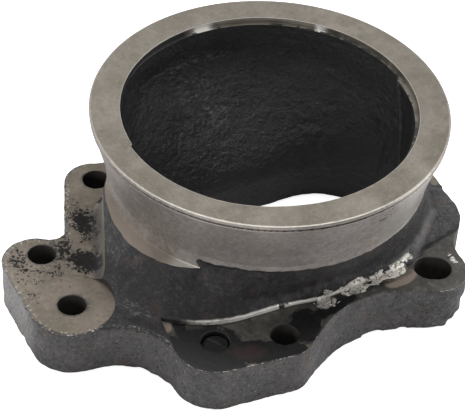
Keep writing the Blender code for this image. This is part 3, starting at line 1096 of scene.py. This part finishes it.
def add_dirt(s):
    """Grease, the thin film round it, and soot on the foot's top."""
    x, y, blot, flake = s.x, s.y, s.blot, s.flake
    grease = patches(
        x, y,
        (-42.0, -45.5, 14.5, 12.5, -28.0, 1.0), (-24.0, -53.0, 20.0, 5.6, -24.0, 1.0),
        (-8.5, -47.0, 5.5, 8.5, -28.0, 1.0), (2.0, -43.5, 12.0, 2.6, 12.0, 0.8),
        (-44.8, -33.0, 2.2, 7.0, -15.0, 1.0), (-36.0, -36.5, 2.4, 3.6, 0.0, 0.6),
    )
    ragged = grease + (blot - 0.5) * 0.5 + (flake - 0.5) * 0.9 + (s.fleck - 0.5) * 0.3
    s.grease = ramp(ragged, 0.02, 0.18)
    film = patches(
        x, y,
        (-24.0, -42.0, 31.0, 14.0, -12.0, 1.0), (12.0, -42.0, 38.0, 9.0, 0.0, 1.0),
        (43.0, -40.0, 21.0, 19.0, 0.0, 1.0),
    )
    s.film = ramp(film + (blot - 0.5) * 0.3 + (s.fleck - 0.5) * 0.35, 0.0, 0.16)
    soot = patches(
        x, y,
        (-53.2, 23.5, 5.4, 11.5, -6.0, 1.0), (-64.5, 14.5, 5.4, 9.5, -10.0, 0.72),
        (-79.5, 13.0, 5.5, 14.0, -8.0, 0.42), (-72.0, 6.5, 8.0, 4.0, -30.0, 0.40),
        (-60.5, 8.0, 6.5, 6.0, 0.0, 1.1), (-58.6, 5.0, 5.0, 6.0, 0.0, 1.3),
    )
    s.haze = ramp(soot + (blot - 0.5) * 0.8, 0.0, 0.5)
    ragged = soot * 0.60 + (flake - 0.5) * 1.5 + (s.crumb - 0.5) * 1.5 + (blot - 0.5) * 0.5
    s.soot = ramp(ragged, 0.16, 0.27)


def cast_skin(s):
    """Raw cast skin, darker above the foot's top than below it."""
    where, x, y, lift, blot, glint = s.where, s.x, s.y, s.lift, s.blot, s.glint
    level = 0.008 + 0.172 * ramp(lift, 1.0, -1.0)
    # painted light: the far left side faces are painted paler, where the light falls on them
    left_side_painted_light = ramp(x, -66.0, -80.0) * ramp(y, -14.0, -2.0)
    level = level + 0.40 * left_side_painted_light * ramp(lift, 0.5, -0.5)
    level = level - 0.05 * ramp(x, 20.0, 42.0) * ramp(lift, 1.0, -1.0)
    level = level + 0.02 * ramp(attr("rawtop"), 0.3, 0.7)
    spread = 0.85 + 0.40 * ramp(lift, 1.0, -1.0)
    level = level + spread * (
        (s.broad - 0.5) * 0.20
        + (blot - 0.5) * 0.22
        + (s.fleck - 0.5) * 0.36
        + (s.fine - 0.5) * 0.30
    )
    warm = ramp(grain(where, 6.0, seed=8.0), 0.52, 0.72)
    # painted highlights: pale glints flecked over the cast skin, most of them below the foot's
    # top
    painted_glint = ramp(glint, 0.62, 0.70) * (0.35 + 0.65 * ramp(lift, 0.5, -0.5))
    dark_pit = ramp(pits(where, 2.2), 0.26, 0.12) * ramp(blot, 0.40, 0.55)
    # a painted highlight along the fillet where the neck runs out over the foot's right end,
    # and a darker band along the neck's foot beside it
    ends = band((x + y - 21.0) * 0.7071, 15.5, 12.0)
    fillet_highlight = band((x - y - 71.1) * 0.7071, 1.8, 0.4) * ends * ramp(lift, -0.4, 0.2)
    neck_foot_dark = band((x - y - 67.9) * 0.7071, 2.3, 0.9)
    # grey scuffs between the spot face and the start of the root line
    scuffs = ellipse(x, y, -55.0, -20.5, 8.5, 3.0, -58.0)
    scratch = grain(vec(x * 0.5 - y * 0.25, x + y, s.z), 0.9, seed=27.0, rough=0.7)
    scratch = ramp(scratch, 0.50, 0.60)
    return coats(
        tint(clamped(level), (33, 32, 35), (163, 159, 158)),
        (warm * 0.35, (86, 68, 56)),
        (painted_glint * 0.40, (158, 155, 154)),
        (ramp(glint, 0.40, 0.31) * 0.7, (22, 21, 23)),
        (dark_pit * 0.8, (20, 19, 21)),
        (fillet_highlight * 0.24, (150, 147, 146)),
        (neck_foot_dark * ends * ramp(lift, 0.0, 0.6) * 0.5, (26, 25, 27)),
        (ramp(scuffs, 0.0, 0.5) * scratch * 0.26, (150, 148, 147)),
    )


def foot_top(s):
    """The milled top of the foot under its dirt."""
    x, y, blot, fleck = s.x, s.y, s.blot, s.fleck
    clean = coats(
        tint(ramp(s.broad, 0.3, 0.7), (98, 91, 79), (130, 121, 110)),
        (ramp(blot, 0.45, 0.65) * 0.5, (122, 109, 102)),
        (ramp(blot, 0.46, 0.34) * 0.45, (104, 100, 84)),
        (ramp(fleck, 0.5, 0.66) * 0.45, (84, 78, 70)),
        (ramp(fleck, 0.46, 0.34) * 0.30, (146, 138, 128)),
        (s.haze * 0.45, (92, 88, 84)),
    )
    scuff = grain(vec(x, y * 0.7, s.z), 1.3, seed=25.0, detail=4.0, rough=0.7)
    film_tone = coats(
        tint(ramp(blot, 0.35, 0.65), (46, 45, 43), (76, 74, 70)),
        (ramp(scuff, 0.54, 0.64) * 0.40, (118, 114, 107)),
        (ramp(scuff, 0.46, 0.36) * 0.7, (26, 25, 25)),
    )
    beige = ellipse(x, y, 29.5, -39.8, 7.4, 3.6, 10.0)
    beige = ramp(beige + (fleck - 0.5) * 0.5, 0.05, 0.25)
    beige = higher(beige, ramp(ellipse(x, y, -48.9, -30.4, 2.4, 2.8), 0.0, 0.2))
    rust = ellipse(x, y, -30.0, -50.5, 8.0, 4.5, -20.0)
    rust = ramp(rust + (s.flake - 0.5) * 1.6, 0.1, 0.6)
    return coats(
        clean,
        (s.soot * 0.96, tint(ramp(s.fine, 0.4, 0.7), (9, 9, 10), (30, 29, 29))),
        (s.film * 0.92, film_tone),
        (beige * 0.85, (150, 135, 122)),
        (s.grease, tint(ramp(fleck, 0.4, 0.75), (11, 11, 12), (27, 26, 26))),
        (rust * 0.4, (62, 42, 40)),
    )


def flat_wall(s):
    """The milled flat, dark in its cove, with a pale ridge above."""
    y, lift = s.y, s.lift
    cove = ramp(lift, 5.0, 1.0) * ramp(y, 30.0, 24.0)
    ridge = band(lift - 6.2 - 3.0 * (s.broad - 0.5), 1.3, 0.3)
    return coats(
        tint(s.broad, (110, 103, 94), (136, 129, 119)),
        (cove * (0.3 + 0.5 * ramp(s.blot, 0.28, 0.55)), (48, 45, 49)),
        (s.soot * ramp(lift, 4.0, 2.0), (24, 23, 25)),
        (ridge * ramp(y, 12.0, 18.0) * 0.6, (176, 172, 168)),
    )


def flange_face(s):
    """The flange's flat upper face."""

    def spots(seed):
        return ramp(grain(s.where, 0.9, seed=seed, rough=0.7), 0.5, 0.62) * 0.3

    return coats(
        tint(ramp(s.broad, 0.34, 0.66), (102, 96, 87), (129, 123, 114)),
        # painted light: the face is painted lighter towards the back
        (ramp(s.y, -30.0, 60.0) * 0.35, (146, 140, 131)),
        (ramp(s.blot, 0.42, 0.62) * 0.55, (106, 101, 88)),
        (ramp(s.flake, 0.52, 0.66) * 0.5, (138, 130, 121)),
        (ramp(s.flake, 0.45, 0.34) * 0.5, (88, 83, 74)),
        (spots(17.0), (138, 132, 124)),
        (spots(18.0), (96, 90, 84)),
    )


def turned_side(s):
    """The turned cone, land and ledge, with painted light and shade round them; angles are
    degrees round the ring.
    """
    degrees = s.degrees
    speck = grain(s.where, 1.1, seed=15.0, rough=0.7)
    rosy = ramp(grain(s.where, 4.0, seed=16.0), 0.5, 0.68)
    ledge = on(s.z - (LEDGE_Z + 0.3)) * -1.0 + 1.0
    # painted highlight where the ledge runs out to its point
    point = ramp(degrees, -153.0, -145.0) * ramp(degrees, -134.0, -137.0)
    return coats(
        tint(ramp(s.broad, 0.3, 0.7), (140, 133, 128), (162, 156, 151)),
        (ramp(speck, 0.5, 0.62) * 0.40, (184, 178, 172)),
        (ramp(speck, 0.48, 0.38) * 0.50, (94, 89, 87)),
        (rosy * 0.3, (158, 134, 126)),
        (ramp(s.blot, 0.4, 0.8) * 0.45, (126, 116, 111)),
        (ramp(s.flake, 0.48, 0.72) * 0.45, (112, 106, 103)),
        (ramp(s.streak, 0.5, 0.8) * 0.30, (178, 174, 168)),
        # painted light by angle round the ring: painted shade at -98 degrees, painted light at
        # -128 and a painted highlight at -66
        (band(degrees + 98.0, 24.0, 6.0) * 0.42, (96, 91, 89)),
        (band(degrees + 128.0, 26.0, 12.0) * 0.25, (196, 188, 182)),
        (band(degrees + 66.0, 15.0, 4.0) * 0.40, (200, 196, 191)),
        # painted light: the ledge's upward face is painted lighter
        (ledge * 0.8, (184, 175, 164)),
        (ledge * point * 0.85, (246, 243, 238)),
    )


def register_tone(s):
    """The mouth's shallow register in painted light: a lit stretch with two painted highlights,
    painted shade round the rest.
    """
    degrees, blot = s.degrees, s.blot
    painted_highlight = band(degrees - 92.0, 6.0, 2.0) + band(degrees - 42.5, 3.5, 1.0)
    lit_tone = tint(blot, (118, 113, 103), (160, 154, 144))
    lit_tone = tint(painted_highlight, lit_tone, (240, 238, 232))
    # painted shade for the rest of the register
    unlit_tone = coats(
        tint(ramp(blot, 0.35, 0.65), (72, 67, 60), (108, 102, 93)),
        (ramp(degrees, 70.0, 80.0), (34, 33, 34)),
        (ramp(degrees, -52.0, -60.0), (60, 56, 52)),
    )
    return tint(s.lit, unlit_tone, lit_tone)


def bore_tone(s):
    """The dark cored bore, with a painted highlight at its back and the core's seam."""
    x, y, z, fleck = s.x, s.y, s.z, s.fleck
    level = ramp(s.blot, 0.3, 0.8) * 0.5 + ramp(fleck, 0.5, 0.8) * 0.25
    level = level + 0.9 * ramp(x + 0.3 * y, -10.0, 40.0)
    # painted highlight: ellipses in degrees round the core and height
    core_degrees = math_node("ARCTAN2", y - CORE_Y, x - CORE_X) * 57.2958
    painted_sheen = patches(
        core_degrees, z,
        (98.0, 45.2, 36.0, 3.4, 0.0, 0.8),
        (98.0, 36.5, 25.0, 11.0, 0.0, 0.7),
        (92.0, 30.0, 12.0, 3.6, 0.0, 1.5),
    )
    peak = ramp(grain(vec(x, y, z * 1.7), 1.5, seed=26.0, rough=0.7), 0.48, 0.66)
    seam_at = core_seam(y, z)
    seam = band(seam_at, 1.1, 0.3) * ramp(x, 38.0, 42.0)
    shade = ramp(seam_at, 0.0, -1.5) * ramp(x, 36.0, 42.0) * ramp(seam_at, -16.0, -10.0)
    return coats(
        tint(level, (19, 19, 21), (37, 37, 38)),
        (ramp(painted_sheen, 0.0, 0.8) * peak * 0.62, (106, 107, 113)),
        (ramp(z, 30.0, 8.0) * 0.30, (58, 57, 56)),
        (seam * ramp(fleck, 0.35, 0.6) * 0.5, (74, 72, 69)),
        (shade * 0.6, (12, 12, 13)),
    )


def underside(s):
    """The joint face, with a gasket's stain round the port."""
    beyond = higher(math_node("ABSOLUTE", s.x) - PORT_END, 0.0)
    dist = math_node("SQRT", beyond * beyond + s.y * s.y) - PORT_R
    stain = ramp(dist, 7.5, 5.0) * ramp(dist, 0.2, 0.8)
    clean = tint(s.broad, (128, 121, 112), (160, 152, 142))
    return tint(stain * ramp(s.blot, 0.25, 0.7) * 0.8, clean, (62, 52, 46))


def hole_tone(s):
    """The bolt holes; the stud's own is darkest."""
    tone = tint(s.blot, (38, 37, 38), (74, 70, 66))
    return tint(ramp(ellipse(s.x, s.y, STUD_X, STUD_Y, 6.0, 6.0), 0.0, 0.1), tone, (20, 19, 19))


def root_metal(s):
    """Bright metal along the root line, partly bare metal and partly painted highlight: its
    share, its colour, dirt between.
    """
    x, y, z, lift, chips = s.x, s.y, s.z, s.lift, s.chips
    # the low wall the cutter left, which gets a painted highlight
    wall = ramp(s.milled, -0.75, -0.25) * ramp(lift, 0.05, 0.25)
    wall = wall * ramp(lift, 2.6, 1.9) * ramp(attr("gap"), 0.4, 0.1)
    wall = wall * ramp(attr("rawtop"), 0.5, 0.2)
    gaps = grain(vec(x, y * 0.3, z * 0.3), 4.5, seed=23.0, detail=2.0)
    plates = patches(
        x, y,
        (2.6, -40.2, 4.6, 3.0, 10.0, 1.0), (13.6, -38.7, 6.2, 2.7, 6.0, 1.0),
        (22.0, -37.5, 3.6, 2.3, 8.0, 0.55), (29.6, -36.0, 5.2, 2.9, 20.0, 0.9),
        (34.6, -33.4, 3.0, 2.2, 32.0, 0.8), (49.5, -38.6, 1.8, 3.4, 0.0, 0.45),
    )
    wander = (chips - 0.5) * 2.4
    broken = vec(x * 0.40 + wander, y - 0.15 * x + wander, z * 0.8 + wander)
    crack, kept, shade = cells(broken, 2.0)
    thick = plates + (kept - 0.5) * 0.5 + (chips - 0.5) * 0.9 + (s.crumb - 0.5) * 0.5
    thick = ramp(thick, 0.14, 0.20) * ramp(lift, -0.4, -0.1) * ramp(lift, 3.0, 2.2)
    thick = thick * ramp(crack, 0.01, 0.05)
    over = wall * ramp(x, -3.0, 0.0) * ramp(x, 36.0, 31.0) * ramp(gaps, 0.44, 0.50)
    thick = higher(thick, over * ramp(s.fleck, 0.40, 0.46))
    # a thin painted highlight along the low wall
    wall_highlight = wall * ramp(gaps, 0.30, 0.36)
    wall_highlight = wall_highlight * ramp(x, -45.0, -35.0) * ramp(x, 2.0, -3.0)
    metal_and_highlight = math_node("MAXIMUM", thick, wall_highlight, clamp=True)
    metal_and_highlight = metal_and_highlight * (1.0 - s.on_bore) * (1.0 - s.on_hole) * ramp(y, 20.0, 12.0)
    # tones from pale bare metal up to a near-white painted highlight
    tone = ramp(s.fleck, 0.34, 0.52) * (0.45 + 0.55 * shade)
    tone = tint(tone, (142, 134, 124), (250, 247, 240))
    tone = tint(wall_highlight * ramp(x, -34.0, -24.0), tone, (248, 245, 238))
    # dirt caked between the bright plates
    rootline = attr("rootline")
    reach = ramp(rootline, -3.4, -2.0) * ramp(rootline, 3.8, 2.6) * ramp(lift, 3.2, 2.2)
    reach = reach * ramp(lift, -0.4, -0.1) * ramp(y, -26.0, -29.0)
    caked = ramp(x, -6.0, 2.0) * ramp(x, 30.0, 24.0) + 0.6 * ramp(x, 24.0, 30.0) * ramp(
        x, 37.0, 33.0
    )
    caked = reach * caked * ramp(s.crumb, 0.36, 0.46) * (1.0 - metal_and_highlight)
    return metal_and_highlight, tone, clamped(caked, 0.9)


def bright_edges(s):
    """Bright edges: a painted highlight along the rim's edge, and the foot's top and its uncut
    lip worn bright and partly painted highlight.
    """
    x, y, z, lift, crumb = s.x, s.y, s.z, s.lift, s.crumb
    # painted highlight along the rim's broken edge
    rim = ramp(s.edge, 0.30, 0.08) * ramp(z, TOTAL_H - 2.6, TOTAL_H - 2.0)
    foot = ramp(s.edge + (s.fleck - 0.5) * 1.4, 0.16, 0.02) * ramp(lift, 1.0, 0.3)
    # more worn along the two front corners
    corners = ramp(x, -52.0, -46.0) * ramp(x, -4.0, -10.0) * ramp(y, -40.0, -44.0)
    corners = higher(corners, ramp(x, 34.0, 40.0) * ramp(y, -36.0, -42.0))
    foot = foot * ramp(crumb + 0.11 * corners, 0.53, 0.59)
    foot = foot * ramp(s.side, -2.2, -1.2)
    lip = ramp(s.side, -1.25, -0.8) * ramp(lift, 0.25, 0.6) * ramp(attr("gap"), 0.3, 0.6)
    lip = lip * ramp(crumb, 0.52, 0.6) * ramp(lift, 1.7, 1.1)
    foot = higher(foot * (0.55 + 0.25 * corners), lip * 0.3)
    return math_node("ADD", rim * 0.55, foot, clamp=True) * (1.0 - s.on_bore)


def cone_pits(s):
    """A cluster of pits at the front of the cone."""
    zone = ellipse(s.degrees, s.z, -76.5, 51.5, 5.0, 4.2)
    pit = ramp(pits(s.where, 1.0), 0.46, 0.30) * ramp(zone, 0.0, 0.3) * s.on_turned
    sparse = grain(s.where, 1.4, seed=33.0, detail=1.0, rough=0.5)
    return pit * ramp(sparse, 0.44, 0.50)


def iron_material():
    material = bpy.data.materials.new("cast_iron_used_look")
    start_tree(material)
    s = iron_signals()
    add_dirt(s)
    z, lift, blot, fleck, fine = s.z, s.lift, s.blot, s.fleck, s.fine
    metal_and_highlight, metal_and_highlight_tone, caked = root_metal(s)
    bright = bright_edges(s)
    pit = cone_pits(s)
    spot_wall = s.on_spot * ramp(lift, 0.15, 0.4) * ramp(s.y, 2.0, -2.0)
    # painted shade in the fine groove under the rim's land
    groove = ramp(z, TOTAL_H - 1.05, TOTAL_H - 1.2) * ramp(z, TOTAL_H - 2.0, TOTAL_H - 1.85)

    colour = coats(
        cast_skin(s),
        (s.on_flat, flat_wall(s)),
        (s.on_top, foot_top(s)),
        (spot_wall * 0.85, (40, 38, 38)),
        (s.on_turned, turned_side(s)),
        (s.on_face, flange_face(s)),
        (s.on_register, register_tone(s)),
        (s.on_under, underside(s)),
        (s.on_hole, hole_tone(s)),
        (s.on_bore, bore_tone(s)),
        (caked, (20, 19, 20)),
        (metal_and_highlight, metal_and_highlight_tone),
        (bright, (196, 190, 180)),
        (groove * s.on_turned * 0.6, (40, 37, 35)),
        (pit, (26, 25, 25)),
    )

    # bare machined faces are the more metallic, dirt and unlit register less
    dirty = higher(s.grease, higher(s.film * 0.8, s.soot))
    bare = s.on_turned * 0.62 + s.on_face * 0.45 + s.on_register * 0.6 + s.on_under * 0.4
    bare = bare - s.on_register * 0.5 * (1.0 - s.lit)
    bare = bare + s.on_flat * 0.3 + s.on_top * 0.35 * (1.0 - dirty)
    metal = math_node("ADD", fine * 0.12, bare, clamp=True)
    metal = metal * (1.0 - s.on_bore) * (1.0 - s.on_hole)
    metal = coats(metal, (metal_and_highlight, 0.45), (bright, 0.6), mix=lerp)

    rough = coats(
        0.60 - 0.22 * ramp(s.glint, 0.50, 0.62),
        (s.on_turned, 0.36 + 0.12 * s.streak),
        (s.on_face, 0.44 + 0.10 * blot),
        (s.on_top, 0.50 + 0.10 * blot + 0.25 * s.soot),
        (s.on_top * s.grease, 0.34 + 0.25 * fleck),
        (s.on_flat, 0.46 + 0.10 * blot),
        (s.on_under, 0.42),
        (s.on_register, lerp(s.lit, 0.55, 0.25 + 0.10 * blot)),
        (s.on_bore, 0.30 + 0.20 * fleck),
        (metal_and_highlight, 0.30),
        (bright, 0.32),
        mix=lerp,
    )

    # relief: cast skin, the pebbled bore, turning streaks, plates and pits
    machined = math_node(
        "ADD",
        s.on_turned + s.on_face + s.on_register + s.on_under,
        s.on_flat + s.on_top,
        clamp=True,
    )
    skin = fleck * 0.20 + fine * 0.13
    height = skin * (1.0 - machined) * (1.0 + s.on_bore * 1.6)
    pebble = ramp(pits(s.where, 1.7), 0.75, 0.1)
    lumps = grain(s.where, 1.6, seed=24.0, detail=2.0, rough=0.5)
    height = height + s.on_bore * (0.26 * lumps + 0.10 * pebble)
    height = height + s.streak * 0.010 * (s.on_turned + s.on_face)
    height = height + fine * 0.012 * machined + metal_and_highlight * s.chips * 0.45
    height = height - pit * 0.2 + s.grease * fleck * 0.06 * s.on_top

    shine = 0.5 - 0.10 * s.on_bore - 0.15 * s.on_hole - 0.3 * s.soot * s.on_top
    shine = shine - 0.08 * ramp(lift, -0.5, 0.5) * (1.0 - machined) * (1.0 - s.on_bore)
    finish_material(
        material,
        Base_Color=colour,
        Metallic=metal,
        Roughness=rough,
        Specular_IOR_Level=shine,
        Normal=relief_normal(height),
    )
    return material


def stud_material():
    """Dark greasy steel with a paler scratch along the top's groove."""
    material = bpy.data.materials.new("stud_steel_greasy_look")
    start_tree(material)
    where, x, y, z = port_coordinates()
    blot = grain(where, 2.4, seed=41.0, detail=4.0)
    fleck = grain(where, 0.6, seed=42.0)
    across = (x - STUD_X) * 0.85 + (y - STUD_Y) * 0.53 - 0.5
    scratch = band(across, 0.42, 0.2) * ramp(z, 15.0, 15.3)
    scratch = scratch * ramp(fleck, 0.35, 0.6)
    steel = tint(blot, (20, 20, 20), (38, 37, 36))
    finish_material(
        material,
        Base_Color=tint(scratch * 0.45, steel, (78, 75, 71)),
        Metallic=0.5,
        Roughness=0.45 + 0.2 * fleck,
        Normal=relief_normal(fleck * 0.06 + blot * 0.05),
    )
    return material


def floor_material():
    """A pale floor that also glows, but only to the camera."""
    material = bpy.data.materials.new("studio_floor")
    start_tree(material)
    glow = math_node("MULTIPLY", result("LightPath", {}, "Is Camera Ray"), 0.80)
    white = (1.0, 1.0, 1.0, 1.0)
    diffuse = result("BsdfDiffuse", {"Color": (0.86, 0.86, 0.86, 1.0)})
    emission = result("Emission", {"Color": white, "Strength": glow})
    add_node("OutputMaterial", {"Surface": result("AddShader", {0: diffuse, 1: emission})})
    return material


# --------------------------------------------------------------------------
# Floor, world, lights and camera. Their viewing frame has x to the right,
# y away and z up; it is turned clockwise, seen from above, by VIEW_TURN.
# --------------------------------------------------------------------------
VIEW_TURN = math.radians(28.0)
FLOOR_HALF, FLOOR_Z = 3.0, -0.0004
LIGHT_TARGET = Vector((0.0, 0.0, 0.03))
# name, place from the target (m, viewing frame), size (m), power (W)
LIGHTS = (
    ("softbox_top", (0.05, 0.35, 1.0), (1.0, 0.8), 9.5),
    ("softbox_right", (1.05, 0.18, 0.24), (0.45, 0.4), 6.0),
    ("softbox_left", (-0.95, 0.10, 0.40), (0.5, 0.6), 3.7),
    ("softbox_front", (-0.45, -1.15, 0.35), (0.9, 0.4), 3.2),
)
SENSOR_WIDTH, LENS = 36.0, 170.3225806
ELEVATION, ROLL = math.radians(41.08705), math.radians(3.38082)
# the flange's middle from the eye, in mm: to the right, up and away
AIM_RIGHT, AIM_UP, AIM_AWAY = 11.9816165, 31.1085863, 697.666776


def from_view(v):
    """A direction given in the viewing frame, in the part's frame."""
    cos, sin = math.cos(VIEW_TURN), math.sin(VIEW_TURN)
    return Vector((v[0] * cos + v[1] * sin, -v[0] * sin + v[1] * cos, v[2]))


def build_floor():
    mesh = bpy.data.meshes.new("studio_floor")
    corners = [(-1, -1), (1, -1), (1, 1), (-1, 1)]
    points = [(x * FLOOR_HALF, y * FLOOR_HALF, FLOOR_Z) for x, y in corners]
    mesh.from_pydata(points, [], [(0, 1, 2, 3)])
    mesh.materials.append(floor_material())
    add_object("studio_floor", mesh)


def build_world():
    """Even white surroundings, brighter to the camera than to the part."""
    world = bpy.data.worlds.new("studio")
    bpy.context.scene.world = world
    start_tree(world)
    seen = result("LightPath", {}, "Is Camera Ray")
    strength = result("MapRange", {"Value": seen, "To Min": 0.42, "To Max": 1.05}, "Result")
    add_node("OutputWorld", {"Surface": result("Background", {"Strength": strength})})


def add_softbox(name, where, size, power):
    light = bpy.data.lights.new(name, "AREA")
    light.shape = "RECTANGLE"
    light.size, light.size_y = size
    light.energy = power
    softbox = bpy.data.objects.new(name, light)
    softbox.location = LIGHT_TARGET + from_view(where)
    softbox.rotation_mode = "QUATERNION"
    aim = LIGHT_TARGET - softbox.location
    softbox.rotation_quaternion = aim.to_track_quat("-Z", "Y")
    bpy.context.scene.collection.objects.link(softbox)


def add_camera():
    forward = Vector((0.0, math.cos(ELEVATION), -math.sin(ELEVATION)))
    level_up = Vector((0.0, math.sin(ELEVATION), math.cos(ELEVATION)))
    right = Vector((math.cos(ROLL), 0.0, 0.0)) + level_up * math.sin(ROLL)
    up = Vector((-math.sin(ROLL), 0.0, 0.0)) + level_up * math.cos(ROLL)
    ring_centre = Vector(((RING_X + PORT_X) * MM, (RING_Y + PORT_Y) * MM, TOTAL_H * MM))
    offset = -(right * AIM_RIGHT + up * AIM_UP + forward * AIM_AWAY) * MM
    eye = ring_centre + from_view(offset)

    data = bpy.data.cameras.new("camera")
    data.sensor_fit = "HORIZONTAL"
    data.sensor_width = SENSOR_WIDTH
    data.lens = LENS
    data.clip_start, data.clip_end = 0.05, 20.0
    camera = bpy.data.objects.new("camera", data)
    turn = Matrix((from_view(right), from_view(up), -from_view(forward))).transposed()
    camera.matrix_world = Matrix.Translation(eye) @ turn.to_4x4()
    bpy.context.scene.collection.objects.link(camera)
    bpy.context.scene.camera = camera


casting_mesh = build_casting()
stud_mesh = build_stud()
casting_mesh.materials.append(iron_material())
stud_mesh.materials.append(stud_material())
build_floor()
build_world()
for softbox_row in LIGHTS:
    add_softbox(*softbox_row)
add_camera()

view = bpy.context.scene.view_settings
view.view_transform = "Standard"
view.look = "None"
view.exposure = 0.0
view.gamma = 1.0

bpy.context.view_layer.update()
